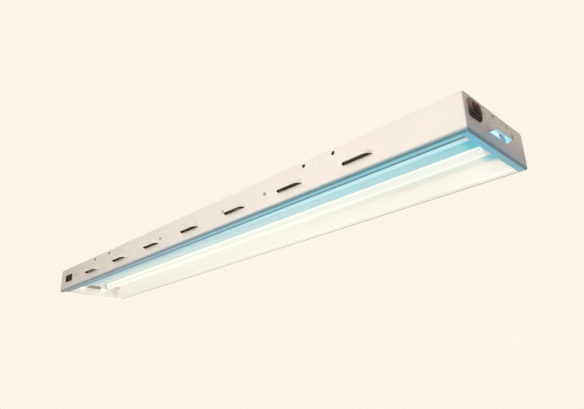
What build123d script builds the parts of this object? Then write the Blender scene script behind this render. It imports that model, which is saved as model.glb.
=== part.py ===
from build123d import *
from math import radians, tan
import os

os.makedirs("parts", exist_ok=True)

# Two-lamp grow light fixture. X runs along the lamps, Z is up, and the origin is the middle of the
# plane on which the turned-in bottom lips lie. The near end is at +X, and the wall with the switch
# faces -Y. All sizes are in millimetres.

# Lamps: T5 tubes with G5 bases
lamp_face_length = 1149.0
lamp_height = 26.0
glass_radius = 7.9
glass_wall = 0.8
cap_length = 10.5
cap_wall = 0.3
cap_end = 1.0
pin_radius = 1.185
pin_spacing = 4.75
pin_length = 7.0

# Reflector: folded aluminium sheet. Its widths run outwards from the middle, and its two bays
# hold the lamps
reflector_sheet = 0.6
hump_half_width = 15.0
hump_height = 26.0
inner_slope_run = 9.0
lamp_bay_inset = 7.75
bay_ceiling_width = 26.0
ceiling_rise = 16.0
outer_slope_run = 17.0
side_lean = 3.5
side_height = 23.0
reflector_bend = 1.6
reflector_inset = 8.5
skirt_height = 22.0
skirt_gap = 1.0

# Housing: one folded steel sheet with turned-in bottom lips
roof_room = 16.2
side_channel = 19.5
end_space = 5.0
sheet = 1.0
top_bend = 7.0
bottom_bend = 5.0
side_lip_reach = 14.5

# End plates: shallow pans with a rolled rim, a bottom lip and a flange under the roof
rim_depth = 3.2
rim_bend = 2.5
end_lip_reach = 12.0
end_flange_reach = 16.0
end_flange_gap = 10.0

# Louvres: pressed hoods that open downwards
louvre_count = 7
louvre_pitch = 140.0
louvre_row_shift = 5.5
louvre_half_length = 27.0
louvre_depth = 10.0
louvre_blend = 4.0
louvre_slit_height = 21.5

# Holes for the hanging wires, one pair near each end of both walls, and for the end hooks
hang_hole_radius = 3.4
hang_hole_drop = 10.5
near_hang_inset = 248.0
near_hang_spacing = 62.0
far_hang_inset = 230.0
far_hang_spacing = 73.0
end_hole_radius = 3.4
end_hole_drop = 8.7
end_hole_centre = 16.0
end_hole_spacing = 42.0

# Hole for the clip of the mains cord, beside the inlet
clip_hole_radius = 2.5
clip_hole_inset = 53.0
clip_hole_drop = 15.0

# Cross straps that carry the reflector
third_strap_inset = 487.0
fourth_strap_inset = 372.0
strap_thickness = 1.2
strap_width = 14.0
strap_tab_bottom = 25.0
side_screw_height = 30.0
reflector_screw_inset = 7.0

# Lampholders and the brackets that carry them
holder_gap = 0.3
holder_radius = 10.0
holder_depth = 15.2
holder_rise = 20.0
holder_screw_drop = 3.5
holder_screw_offset = 6.2
rotor_radius = 6.4
rotor_gap = 0.1
rotor_depth = 9.0
rotor_slot_depth = 7.2
slot_width = 2.7
contact_width = 3.0
contact_thickness = 0.8
contact_height = 9.0
contact_spacing = 7.0
contact_rise = 4.0
contact_pocket_gap = 0.2
contact_pocket_depth = 3.2
bracket_sheet = 1.0
bracket_bar_gap = 1.0
bracket_flange_reach = 13.0

# Power inlet, snapped into the near end plate
inlet_edge_gap = 11.5
inlet_drop = 21.25
inlet_flange_width = 31.0
inlet_flange_height = 26.5
inlet_flange_thickness = 2.5
inlet_body_width = 27.0
inlet_body_height = 19.6
inlet_collar = 1.5
inlet_body_depth = 19.0
inlet_wall = 1.8
inlet_corner = 3.5
inlet_floor = 3.0
inlet_latch_width = 7.0
inlet_latch_reach = 1.2
inlet_latch_run = 6.0
inlet_pin_width = 2.0
inlet_pin_height = 4.0
inlet_pin_spacing = 14.0
inlet_pin_step = 2.0
inlet_pin_recess = 5.5
inlet_tab_length = 8.0

# Rocker switch at the far end of the -Y wall
switch_inset = 50.5
switch_centre_z = 29.0
switch_bezel_length = 33.0
switch_bezel_height = 17.0
switch_bezel_thickness = 2.0
switch_body_length = 28.0
switch_body_height = 13.4
switch_body_depth = 13.0
switch_wall = 1.2
switch_floor = 1.4
rocker_radius = 12.3
rocker_gap = 0.3
rocker_pivot_depth = 2.0
rocker_middle = 3.2
rocker_end = 5.2
rocker_base = 3.0
rocker_tilt = 9.0
pivot_radius = 1.2
pivot_gap = 0.1
switch_tab_length = 6.0
switch_tab_width = 4.8
switch_tab_thickness = 0.8
switch_tab_spacing = 12.0

# Ballast, hung under the roof above the middle hump
ballast_inset = 112.0
ballast_far_strap_gap = 19.0
ballast_near_strap_gap = 23.0
ballast_length = 360.0
ballast_width = 30.0
ballast_height = 21.0
ballast_sheet = 0.8
ballast_base_thickness = 1.2
ballast_ear = 12.0
ballast_screw_inset = 6.0
board_thickness = 1.6
board_gap = 2.0
board_edge_gap = 0.3
component_pitch = 72.0
choke_length = 26.0
choke_width = 20.0
choke_height = 13.0
capacitor_radius = 5.0
capacitor_length = 24.0
terminal_length = 16.0
terminal_width = 22.0
terminal_height = 10.0

# Screws
clear_hole = 0.2
recess_width = 0.7
recess_depth = 0.8
screw_radius = 1.6
screw_head_radius = 3.2
screw_head_height = 1.8
screw_length = 6.5
end_screw_inset = 11.0
roof_screw_inset = 20.0
small_screw_radius = 1.4
small_head_radius = 2.6
small_head_height = 1.5
reflector_screw_length = 7.0
earth_screw_inset = 35.0
earth_screw_drop = 16.5
earth_screw_radius = 2.0
earth_head_radius = 4.2
earth_head_height = 2.6
earth_screw_length = 9.0
lug_thickness = 0.8
lug_radius = 4.5
lug_length = 13.5
nut_radius = 4.0
nut_height = 3.0

# Leads
lead_radius = 1.1
lead_row = 6.0
lead_clearance = 4.0
high_lead_drop = 5.0
earth_lead_out = 17.0
earth_lead_rise = 35.0
# each bend takes this share of the shorter run beside it
bend_share = 0.45

# A cutter is this many times as long as the sheet that it passes
cut_reach = 4.0

# Worked out from the sizes above: across the fixture
ceiling_inner = hump_half_width + inner_slope_run
ceiling_outer = ceiling_inner + bay_ceiling_width
side_top = ceiling_outer + outer_slope_run
flange_inner = side_top + side_lean
half_width = flange_inner + side_channel
fixture_width = 2 * half_width
wall_inner = half_width - sheet
lamp_y = ceiling_inner + lamp_bay_inset
reflector_screw_offset = ceiling_outer - reflector_screw_inset
roof_screw_outer = half_width - roof_screw_inset
end_flange_width = fixture_width - 2 * end_flange_gap
inlet_centre_y = inlet_edge_gap + inlet_flange_width / 2 - half_width
clip_hole_y = clip_hole_inset - half_width
earth_screw_y = half_width - earth_screw_inset
rocker_pivot_y = rocker_pivot_depth - half_width

# Along the fixture
lamp_face = lamp_face_length / 2
holder_front = lamp_face + holder_gap
holder_back = holder_front + holder_depth
plate_inner = holder_back + bracket_sheet + end_space
half_length = plate_inner + sheet
housing_half_length = half_length - rim_depth
reflector_half_length = lamp_face - reflector_inset
reflector_skirt_half_length = half_length - end_lip_reach - skirt_gap
end_screw_x = half_length - end_screw_inset
switch_centre_x = switch_inset - half_length
ballast_in = ballast_inset - half_length
ballast_out = ballast_in + ballast_length
ballast_centre_x = (ballast_in + ballast_out) / 2
strap_places = (
    ballast_in - ballast_far_strap_gap,
    ballast_out + ballast_near_strap_gap,
    half_length - third_strap_inset,
    half_length - fourth_strap_inset,
)

# Upwards
ceiling_height = lamp_height + ceiling_rise
strap_bottom = ceiling_height + reflector_sheet
strap_top = strap_bottom + strap_thickness
fixture_height = strap_top + roof_room
holder_top = lamp_height + holder_rise
holder_screw_height = holder_top - holder_screw_drop
contact_base = lamp_height + contact_rise
bracket_bar_bottom = holder_top + bracket_bar_gap
roof_under = fixture_height - sheet
flange_under = roof_under - sheet
hang_hole_height = fixture_height - hang_hole_drop
end_hole_height = fixture_height - end_hole_drop
inlet_centre_z = fixture_height - inlet_drop
clip_hole_z = fixture_height - clip_hole_drop
earth_screw_z = fixture_height - earth_screw_drop
ballast_base_under = roof_under - ballast_base_thickness
ballast_case_bottom = roof_under - ballast_height
board_top = ballast_base_under - board_gap
board_under = board_top - board_thickness
high_lead_height = flange_under - high_lead_drop

cap_radius = glass_radius + cap_wall
ends = (("near", 1), ("far", -1))
lamps = ((1, -lamp_y), (2, lamp_y))


def save(part, name):
    part.label = name
    export_step(part, f"parts/{name}.step")


def fold_outline(inset):
    # rounded outline of the housing in the YZ plane, drawn in by the inset
    with BuildSketch() as outline:
        with Locations((0, inset)):
            Rectangle(
                fixture_width - 2 * inset,
                fixture_height - 2 * inset,
                align=(Align.CENTER, Align.MIN),
            )
        fillet(outline.vertices().group_by(Axis.Y)[-1], top_bend - inset)
        fillet(outline.vertices().group_by(Axis.Y)[0], bottom_bend - inset)
    return outline.sketch


def louvre_body(half_chord, depth, turn):
    # straight barrel with round ends, turned about its chord from level with the slit upwards
    barrel_end = half_chord - depth
    with BuildPart() as body:
        with BuildSketch():
            with BuildLine():
                Line((half_chord, 0), (-half_chord, 0))
                CenterArc((-barrel_end, 0), depth, 180, 90)
                Line((-barrel_end, -depth), (barrel_end, -depth))
                CenterArc((barrel_end, 0), depth, 270, 90)
            make_face()
        revolve(axis=Axis((0, 0, 0), (-1, 0, 0)), revolution_arc=turn)
    return body.part


# Hood pressed out of a patch of wall whose outer face lies on the XZ plane
hood_half_length = louvre_half_length + sheet
hood_depth = louvre_depth + sheet
patch_margin = 2 * louvre_blend
with BuildPart() as pressed_hood:
    Box(
        2 * (hood_half_length + patch_margin),
        sheet,
        hood_depth + patch_margin,
        align=(Align.CENTER, Align.MIN, Align.MIN),
    )
    add(louvre_body(hood_half_length, hood_depth, 90))
    patch_face = pressed_hood.faces().filter_by(Axis.Y).sort_by(Axis.Y)[0]
    # seam between hood and patch, without the edges of the slit
    seam = patch_face.edges().filter_by(
        lambda edge: edge.center().Z > sheet
        and edge.bounding_box().max.Z < hood_depth + louvre_blend
        and abs(edge.center().X) < hood_half_length + louvre_blend
    )
    fillet(seam, louvre_blend)
louvre_hood = pressed_hood.part
louvre_hollow = louvre_body(louvre_half_length, louvre_depth, 180)
louvre_span = (louvre_count - 1) * louvre_pitch
louvre_xs = [louvre_row_shift + index * louvre_pitch - louvre_span / 2 for index in range(louvre_count)]
wall_louvres = [Location((x, -half_width, louvre_slit_height)) for x in louvre_xs]
wall_louvres += [Location((x, half_width, louvre_slit_height), (0, 0, 180)) for x in louvre_xs]
hang_xs = [
    centre + side * spacing / 2
    for centre, spacing in (
        (half_length - near_hang_inset, near_hang_spacing),
        (far_hang_inset - half_length, far_hang_spacing),
    )
    for side in (-1, 1)
]
ballast_screw_run = ballast_ear - ballast_screw_inset
ballast_screw_xs = (ballast_in - ballast_screw_run, ballast_out + ballast_screw_run)
roof_screw_ys = (-roof_screw_outer, -lamp_y, lamp_y, roof_screw_outer)
roof_screw_places = [(side * end_screw_x, y) for side in (-1, 1) for y in roof_screw_ys]
end_hole_ys = (end_hole_centre - end_hole_spacing / 2, end_hole_centre + end_hole_spacing / 2)

# Housing
with BuildPart() as housing:
    with BuildSketch(Plane.YZ.offset(-housing_half_length)):
        add(fold_outline(0))
        add(fold_outline(sheet), mode=Mode.SUBTRACT)
        Rectangle(fixture_width - 2 * side_lip_reach, 2 * bottom_bend, mode=Mode.SUBTRACT)
    extrude(amount=2 * housing_half_length)
    # the lips stop where the lips of the end plates begin
    with Locations(*[(side * half_length, 0, sheet / 2) for side in (-1, 1)]):
        Box(2 * end_lip_reach, fixture_width - 2 * bottom_bend, sheet, mode=Mode.SUBTRACT)
    with Locations(*wall_louvres):
        add(louvre_hood)
    with Locations(*wall_louvres):
        add(louvre_hollow, mode=Mode.SUBTRACT)
    with Locations(*[(x, 0, hang_hole_height) for x in hang_xs]):
        Cylinder(hang_hole_radius, 2 * fixture_width, rotation=(90, 0, 0), mode=Mode.SUBTRACT)
    with Locations(*[(x, 0, side_screw_height) for x in strap_places]):
        Cylinder(screw_radius + clear_hole, 2 * fixture_width, rotation=(90, 0, 0), mode=Mode.SUBTRACT)
    with Locations(*[(x, y, roof_under) for x, y in roof_screw_places]):
        Cylinder(screw_radius + clear_hole, cut_reach * sheet, mode=Mode.SUBTRACT)
    with Locations(*[(x, 0, roof_under) for x in ballast_screw_xs]):
        Cylinder(screw_radius + clear_hole, cut_reach * sheet, mode=Mode.SUBTRACT)
    with Locations((switch_centre_x, -half_width, switch_centre_z)):
        Box(
            switch_body_length + 2 * clear_hole,
            cut_reach * sheet,
            switch_body_height + 2 * clear_hole,
            mode=Mode.SUBTRACT,
        )
save(housing.part, "housing")


def end_plate(side):
    turn = 90 * side
    plate_place = Location((side * half_length, 0, louvre_slit_height), (0, 0, turn))
    with BuildPart() as plate:
        with BuildSketch(Plane.YZ.offset(side * housing_half_length)):
            add(fold_outline(0))
        extrude(amount=side * rim_depth)
        fillet(plate.faces().sort_by(Axis.X)[-1 if side > 0 else 0].edges(), rim_bend)
        with BuildSketch(Plane.YZ.offset(side * housing_half_length)):
            add(fold_outline(sheet))
        extrude(amount=side * (rim_depth - sheet), mode=Mode.SUBTRACT)
        # bottom lip
        lip_run = end_lip_reach - sheet
        with Locations((side * (plate_inner - lip_run / 2), 0, sheet / 2)):
            Box(lip_run, fixture_width - 2 * bottom_bend, sheet)
        # flange under the roof
        flange_run = end_flange_reach - sheet
        with Locations((side * (plate_inner - flange_run / 2), 0, flange_under + sheet / 2)):
            Box(flange_run, end_flange_width, sheet)
        with Locations(plate_place):
            add(louvre_hood)
        with Locations(plate_place):
            add(louvre_hollow, mode=Mode.SUBTRACT)
        with Locations(*[(side * end_screw_x, y, flange_under) for y in roof_screw_ys]):
            Cylinder(screw_radius + clear_hole, cut_reach * sheet, mode=Mode.SUBTRACT)
        with Locations(*[(side * half_length, y, end_hole_height) for y in end_hole_ys]):
            Cylinder(end_hole_radius, cut_reach * sheet, rotation=(0, 90, 0), mode=Mode.SUBTRACT)
        if side > 0:
            with Locations((half_length, inlet_centre_y, inlet_centre_z)):
                Box(
                    cut_reach * sheet,
                    inlet_body_width + 2 * clear_hole,
                    inlet_body_height + 2 * clear_hole,
                    mode=Mode.SUBTRACT,
                )
            with Locations((half_length, clip_hole_y, clip_hole_z)):
                Cylinder(clip_hole_radius, cut_reach * sheet, rotation=(0, 90, 0), mode=Mode.SUBTRACT)
            with Locations((half_length, earth_screw_y, earth_screw_z)):
                Cylinder(
                    earth_screw_radius + clear_hole,
                    cut_reach * sheet,
                    rotation=(0, 90, 0),
                    mode=Mode.SUBTRACT,
                )
    return plate.part


for end_name, end_side in ends:
    save(end_plate(end_side), f"{end_name}_end_plate")

# Reflector
half_profile = [
    (half_width - bottom_bend, sheet),
    (flange_inner, sheet),
    (side_top, sheet + side_height),
    (ceiling_outer, ceiling_height),
    (ceiling_inner, ceiling_height),
    (hump_half_width, hump_height),
]
reflector_profile = half_profile + [(-y, z) for y, z in reversed(half_profile)]
with BuildPart() as reflector:
    with BuildSketch(Plane.YZ.offset(-reflector_skirt_half_length)):
        with BuildLine():
            FilletPolyline(*reflector_profile, radius=reflector_bend)
            offset(amount=reflector_sheet, side=Side.RIGHT, closed=True)
        make_face()
    extrude(amount=2 * reflector_skirt_half_length)
    skirt_run = reflector_skirt_half_length - reflector_half_length
    with Locations(*[(side * reflector_skirt_half_length, 0, sheet + skirt_height) for side in (-1, 1)]):
        Box(
            2 * skirt_run,
            fixture_width,
            fixture_height,
            align=(Align.CENTER, Align.CENTER, Align.MIN),
            mode=Mode.SUBTRACT,
        )
    with Locations(
        *[(x, side * reflector_screw_offset, ceiling_height) for x in strap_places for side in (-1, 1)]
    ):
        Cylinder(small_screw_radius + clear_hole, cut_reach * reflector_sheet, mode=Mode.SUBTRACT)
save(reflector.part, "reflector")


def cross_strap(x):
    with BuildPart() as strap:
        with BuildSketch(Plane.YZ.offset(x - strap_width / 2)):
            with BuildLine():
                FilletPolyline(
                    (-wall_inner + strap_thickness, strap_tab_bottom),
                    (-wall_inner + strap_thickness, strap_bottom),
                    (wall_inner - strap_thickness, strap_bottom),
                    (wall_inner - strap_thickness, strap_tab_bottom),
                    radius=strap_thickness,
                )
                offset(amount=strap_thickness, side=Side.LEFT, closed=True)
            make_face()
        extrude(amount=strap_width)
        with Locations((x, 0, side_screw_height)):
            Cylinder(screw_radius, 2 * fixture_width, rotation=(90, 0, 0), mode=Mode.SUBTRACT)
        with Locations(*[(x, side * reflector_screw_offset, strap_bottom) for side in (-1, 1)]):
            Cylinder(small_screw_radius, cut_reach * strap_thickness, mode=Mode.SUBTRACT)
    return strap.part


for strap_number, strap_x in enumerate(strap_places, 1):
    save(cross_strap(strap_x), f"cross_strap_{strap_number}")


def socket_bracket(side):
    web_x = side * (holder_back + bracket_sheet / 2)
    web_width = 2 * (lamp_y + holder_radius)
    flange_top = flange_under
    with BuildPart() as bracket:
        with Locations((web_x, 0, bracket_bar_bottom)):
            Box(
                bracket_sheet,
                web_width,
                flange_top - bracket_bar_bottom,
                align=(Align.CENTER, Align.CENTER, Align.MIN),
            )
        leg_bottom = lamp_height - holder_radius
        with Locations(*[(web_x, y, leg_bottom) for _, y in lamps]):
            Box(
                bracket_sheet,
                2 * holder_radius,
                flange_top - leg_bottom,
                align=(Align.CENTER, Align.CENTER, Align.MIN),
            )
        flange_x = side * (holder_back + bracket_sheet - bracket_flange_reach / 2)
        with Locations((flange_x, 0, flange_top - bracket_sheet / 2)):
            Box(bracket_flange_reach, web_width, bracket_sheet)
        with Locations(*[(side * end_screw_x, y, flange_top) for _, y in lamps]):
            Cylinder(screw_radius, cut_reach * bracket_sheet, mode=Mode.SUBTRACT)
        with Locations(*[(web_x, y + holder_screw_offset, holder_screw_height) for _, y in lamps]):
            Cylinder(small_screw_radius, cut_reach * bracket_sheet, rotation=(0, 90, 0), mode=Mode.SUBTRACT)
    return bracket.part


for end_name, end_side in ends:
    save(socket_bracket(end_side), f"{end_name}_socket_bracket")


def lampholder(side, y):
    with BuildPart() as holder:
        with BuildSketch(Plane.YZ.offset(side * holder_front)):
            with Locations((y, lamp_height)):
                Circle(holder_radius)
                Rectangle(
                    2 * holder_radius,
                    holder_top - lamp_height,
                    align=(Align.CENTER, Align.MIN),
                )
        extrude(amount=side * holder_depth)
        # bore for the rotor, and the slot through which the lamp pins enter from below
        with BuildSketch(Plane.YZ.offset(side * holder_front)):
            with Locations((y, lamp_height)):
                Circle(rotor_radius + rotor_gap)
        extrude(amount=side * (rotor_depth + 2 * rotor_gap), mode=Mode.SUBTRACT)
        with BuildSketch(Plane.YZ.offset(side * holder_front)):
            with Locations((y, lamp_height)):
                Rectangle(slot_width, 2 * holder_radius, align=(Align.CENTER, Align.MAX))
        extrude(amount=side * (rotor_slot_depth + rotor_gap), mode=Mode.SUBTRACT)
        # pockets for the two contacts, open at the back
        with BuildSketch(Plane.YZ.offset(side * holder_back)):
            with Locations(*[(y + part * contact_spacing / 2, contact_base) for part in (-1, 1)]):
                Rectangle(
                    contact_width + 2 * contact_pocket_gap,
                    contact_height,
                    align=(Align.CENTER, Align.MIN),
                )
        extrude(amount=-side * contact_pocket_depth, mode=Mode.SUBTRACT)
        holder_middle = side * (holder_front + holder_depth / 2)
        with Locations((holder_middle, y + holder_screw_offset, holder_screw_height)):
            Cylinder(
                small_screw_radius + clear_hole,
                2 * holder_depth,
                rotation=(0, 90, 0),
                mode=Mode.SUBTRACT,
            )
    return holder.part


def rotor(side, y):
    with BuildPart() as disc:
        with BuildSketch(Plane.YZ.offset(side * (holder_front + rotor_gap))):
            with Locations((y, lamp_height)):
                Circle(rotor_radius)
        extrude(amount=side * rotor_depth)
        with BuildSketch(Plane.YZ.offset(side * (holder_front + rotor_gap))):
            with Locations((y, lamp_height)):
                Rectangle(2 * holder_radius, slot_width)
        extrude(amount=side * rotor_slot_depth, mode=Mode.SUBTRACT)
    return disc.part


for end_name, end_side in ends:
    for lamp_number, lamp_place in lamps:
        save(lampholder(end_side, lamp_place), f"{end_name}_lampholder_{lamp_number}")
        save(rotor(end_side, lamp_place), f"{end_name}_rotor_{lamp_number}")

# Contacts at the back of the lampholders
with BuildPart() as lampholder_contacts:
    for _, end_side in ends:
        with BuildSketch(Plane.YZ.offset(end_side * holder_back)):
            with Locations(
                *[
                    (lamp_place + part * contact_spacing / 2, contact_base)
                    for _, lamp_place in lamps
                    for part in (-1, 1)
                ]
            ):
                Rectangle(contact_width, contact_height, align=(Align.CENTER, Align.MIN))
        extrude(amount=-end_side * contact_thickness)
save(lampholder_contacts.part, "lampholder_contacts")

# Lamps
for lamp_number, lamp_place in lamps:
    glass_half_length = lamp_face - cap_end
    with BuildPart() as lamp_tube:
        with BuildSketch(Plane.YZ.offset(-glass_half_length)):
            with Locations((lamp_place, lamp_height)):
                Circle(glass_radius)
                Circle(glass_radius - glass_wall, mode=Mode.SUBTRACT)
        extrude(amount=2 * glass_half_length)
    save(lamp_tube.part, f"lamp_{lamp_number}_tube")

    with BuildPart() as lamp_caps:
        for _, end_side in ends:
            with BuildSketch(Plane.YZ.offset(end_side * lamp_face)):
                with Locations((lamp_place, lamp_height)):
                    Circle(cap_radius)
            extrude(amount=-end_side * cap_length)
            with BuildSketch(Plane.YZ.offset(end_side * (lamp_face - cap_end))):
                with Locations((lamp_place, lamp_height)):
                    Circle(glass_radius)
            extrude(amount=-end_side * cap_length, mode=Mode.SUBTRACT)
    save(lamp_caps.part, f"lamp_{lamp_number}_caps")

    with BuildPart() as lamp_pins:
        for _, end_side in ends:
            with BuildSketch(Plane.YZ.offset(end_side * lamp_face)):
                with Locations(
                    *[(lamp_place + part * pin_spacing / 2, lamp_height) for part in (-1, 1)]
                ):
                    Circle(pin_radius)
            extrude(amount=end_side * pin_length)
    save(lamp_pins.part, f"lamp_{lamp_number}_pins")

# Power inlet
inlet_face = half_length + inlet_flange_thickness + inlet_collar
inlet_back = half_length - inlet_body_depth
pin_places = [
    (inlet_centre_y - inlet_pin_spacing / 2, inlet_centre_z - inlet_pin_step),
    (inlet_centre_y, inlet_centre_z + inlet_pin_step),
    (inlet_centre_y + inlet_pin_spacing / 2, inlet_centre_z - inlet_pin_step),
]
with BuildPart() as inlet_body:
    with BuildSketch(Plane.YZ.offset(inlet_back)):
        with Locations((inlet_centre_y, inlet_centre_z)):
            Rectangle(inlet_body_width, inlet_body_height)
    extrude(amount=inlet_face - inlet_back)
    with BuildSketch(Plane.YZ.offset(half_length)):
        with Locations((inlet_centre_y, inlet_centre_z)):
            RectangleRounded(inlet_flange_width, inlet_flange_height, inlet_corner)
    extrude(amount=inlet_flange_thickness)
    with BuildSketch(Plane.YZ.offset(inlet_back + inlet_floor)) as socket_hollow:
        with Locations((inlet_centre_y, inlet_centre_z)):
            Rectangle(inlet_body_width - 2 * inlet_wall, inlet_body_height - 2 * inlet_wall)
        chamfer(socket_hollow.vertices().group_by(Axis.Y)[-1], inlet_corner)
    extrude(amount=inlet_face - inlet_back, mode=Mode.SUBTRACT)
    with Locations(*[(inlet_back, y, z) for y, z in pin_places]):
        Box(cut_reach * inlet_floor, inlet_pin_width, inlet_pin_height, mode=Mode.SUBTRACT)
    # snap latches behind the plate
    latch_front = plate_inner - clear_hole
    for side in (-1, 1):
        latch_root = inlet_centre_y + side * inlet_body_width / 2
        with BuildSketch(Plane.XY.offset(inlet_centre_z)):
            Polygon(
                (latch_front, latch_root),
                (latch_front, latch_root + side * inlet_latch_reach),
                (latch_front - inlet_latch_run, latch_root),
                align=None,
            )
        extrude(amount=inlet_latch_width / 2, both=True)
save(inlet_body.part, "inlet_body")

pin_root = inlet_back - inlet_tab_length
with BuildPart() as inlet_pins:
    with Locations(*[(pin_root, y, z) for y, z in pin_places]):
        Box(
            inlet_face - inlet_pin_recess - pin_root,
            inlet_pin_width,
            inlet_pin_height,
            align=(Align.MIN, Align.CENTER, Align.CENTER),
        )
save(inlet_pins.part, "inlet_pins")

# Rocker switch: frame, rocker on its two pivot stubs, and the two blade terminals
frame_back = -half_width + switch_body_depth
window_length = 2 * (rocker_radius + rocker_gap)
window_height = switch_body_height - 2 * switch_wall
switch_plane = Plane.XZ.offset(half_width)
tab_xs = [switch_centre_x + part * switch_tab_spacing / 2 for part in (-1, 1)]
with BuildPart() as switch_frame:
    with BuildSketch(switch_plane):
        with Locations((switch_centre_x, switch_centre_z)):
            RectangleRounded(switch_bezel_length, switch_bezel_height, switch_wall)
    extrude(amount=switch_bezel_thickness)
    with BuildSketch(switch_plane):
        with Locations((switch_centre_x, switch_centre_z)):
            Rectangle(switch_body_length, switch_body_height)
    extrude(amount=-switch_body_depth)
    with BuildSketch(Plane.XZ.offset(half_width + switch_bezel_thickness)):
        with Locations((switch_centre_x, switch_centre_z)):
            Rectangle(window_length, window_height)
    extrude(
        amount=-(switch_bezel_thickness + switch_body_depth - switch_floor),
        mode=Mode.SUBTRACT,
    )
    with Locations((switch_centre_x, rocker_pivot_y, switch_centre_z)):
        Cylinder(pivot_radius + pivot_gap, switch_body_height, mode=Mode.SUBTRACT)
    with Locations(*[(x, frame_back, switch_centre_z) for x in tab_xs]):
        Box(switch_tab_thickness, cut_reach * switch_floor, switch_tab_width, mode=Mode.SUBTRACT)
save(switch_frame.part, "switch_frame")

rocker_height = window_height - 2 * rocker_gap
pivot_length = switch_body_height - 2 * pivot_gap
with BuildPart() as switch_rocker:
    with BuildSketch(Plane.XY.offset(-rocker_height / 2)):
        Circle(rocker_radius)
        with BuildLine():
            Polyline(
                (-rocker_radius, -rocker_end),
                (0, -rocker_middle),
                (rocker_radius, -rocker_end),
                (rocker_radius, rocker_base),
                (-rocker_radius, rocker_base),
                close=True,
            )
        make_face(mode=Mode.INTERSECT)
    extrude(amount=rocker_height)
    Cylinder(pivot_radius, pivot_length)
switch_place = Location((switch_centre_x, rocker_pivot_y, switch_centre_z), (0, 0, rocker_tilt))
save(switch_rocker.part.moved(switch_place), "switch_rocker")

with BuildPart() as switch_terminals:
    with Locations(*[(x, frame_back - switch_floor, switch_centre_z) for x in tab_xs]):
        Box(
            switch_tab_thickness,
            switch_tab_length + switch_floor,
            switch_tab_width,
            align=(Align.CENTER, Align.MIN, Align.CENTER),
        )
save(switch_terminals.part, "switch_terminals")

# Ballast
with BuildPart() as ballast_base:
    with Locations((ballast_centre_x, 0, ballast_base_under + ballast_base_thickness / 2)):
        Box(ballast_length + 2 * ballast_ear, ballast_width, ballast_base_thickness)
    with Locations(*[(x, 0, roof_under) for x in ballast_screw_xs]):
        Cylinder(screw_radius, cut_reach * ballast_base_thickness, mode=Mode.SUBTRACT)
save(ballast_base.part, "ballast_base")

case_height = ballast_base_under - ballast_case_bottom
terminal_z = ballast_base_under - case_height / 2
with BuildPart() as ballast_case:
    with Locations((ballast_centre_x, 0, ballast_case_bottom + case_height / 2)):
        Box(ballast_length, ballast_width, case_height)
    with Locations((ballast_centre_x, 0, ballast_case_bottom + ballast_sheet)):
        Box(
            ballast_length - 2 * ballast_sheet,
            ballast_width - 2 * ballast_sheet,
            case_height,
            align=(Align.CENTER, Align.CENTER, Align.MIN),
            mode=Mode.SUBTRACT,
        )
    with Locations(*[(x, 0, terminal_z) for x in (ballast_in, ballast_out)]):
        Box(
            cut_reach * ballast_sheet,
            terminal_width + 2 * clear_hole,
            terminal_height + 2 * clear_hole,
            mode=Mode.SUBTRACT,
        )
save(ballast_case.part, "ballast_case")

board_half_length = ballast_length / 2 - terminal_length
with BuildPart() as ballast_board:
    with Locations((ballast_centre_x, 0, board_under + board_thickness / 2)):
        Box(
            2 * board_half_length,
            ballast_width - 2 * ballast_sheet - 2 * board_edge_gap,
            board_thickness,
        )
    # spacer strips between the board and the base
    with Locations(
        *[
            (ballast_centre_x + side * (board_half_length - board_gap), 0, board_top + board_gap / 2)
            for side in (-1, 1)
        ]
    ):
        Box(2 * board_gap, ballast_width / 2, board_gap)
save(ballast_board.part, "ballast_board")

choke_xs = [ballast_centre_x + step * component_pitch for step in (-1, 0, 1)]
with BuildPart() as ballast_chokes:
    with Locations(*[(x, 0, board_under - choke_height / 2) for x in choke_xs]):
        Box(choke_length, choke_width, choke_height)
save(ballast_chokes.part, "ballast_chokes")

capacitor_xs = [ballast_centre_x + step * component_pitch for step in (-0.5, 0.5)]
with BuildPart() as ballast_capacitors:
    with Locations(*[(x, 0, board_under - capacitor_radius) for x in capacitor_xs]):
        Cylinder(capacitor_radius, capacitor_length, rotation=(0, 90, 0))
save(ballast_capacitors.part, "ballast_capacitors")

for block_name, block_end, block_side in (("input", ballast_in, -1), ("output", ballast_out, 1)):
    with BuildPart() as terminal_block:
        with Locations((block_end - block_side * terminal_length / 2, 0, terminal_z)):
            Box(terminal_length, terminal_width, terminal_height)
    save(terminal_block.part, f"ballast_{block_name}_terminals")


def screw(head_radius, head_height, shank_radius, length):
    # pan-head screw whose head seats at the origin, with its shank along -Z
    with BuildPart() as body:
        with BuildSketch():
            Circle(head_radius)
        extrude(amount=head_height)
        fillet(body.edges().sort_by(Axis.Z)[-1], head_height / 2)
        with BuildSketch():
            Circle(shank_radius)
        extrude(amount=-length)
        # cross recess
        with Locations((0, 0, head_height)):
            Box(head_radius, recess_width, 2 * recess_depth, mode=Mode.SUBTRACT)
            Box(recess_width, head_radius, 2 * recess_depth, mode=Mode.SUBTRACT)
    return body.part


sheet_screw = screw(screw_head_radius, screw_head_height, screw_radius, screw_length)
small_screw = screw(small_head_radius, small_head_height, small_screw_radius, reflector_screw_length)
holder_screw_length = holder_depth + 2 * bracket_sheet
holder_screw = screw(small_head_radius, small_head_height, small_screw_radius, holder_screw_length)
earth_screw_body = screw(earth_head_radius, earth_head_height, earth_screw_radius, earth_screw_length)


def save_screws(name, body, places):
    with BuildPart() as group:
        with Locations(*places):
            add(body)
    save(group.part, name)


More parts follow.
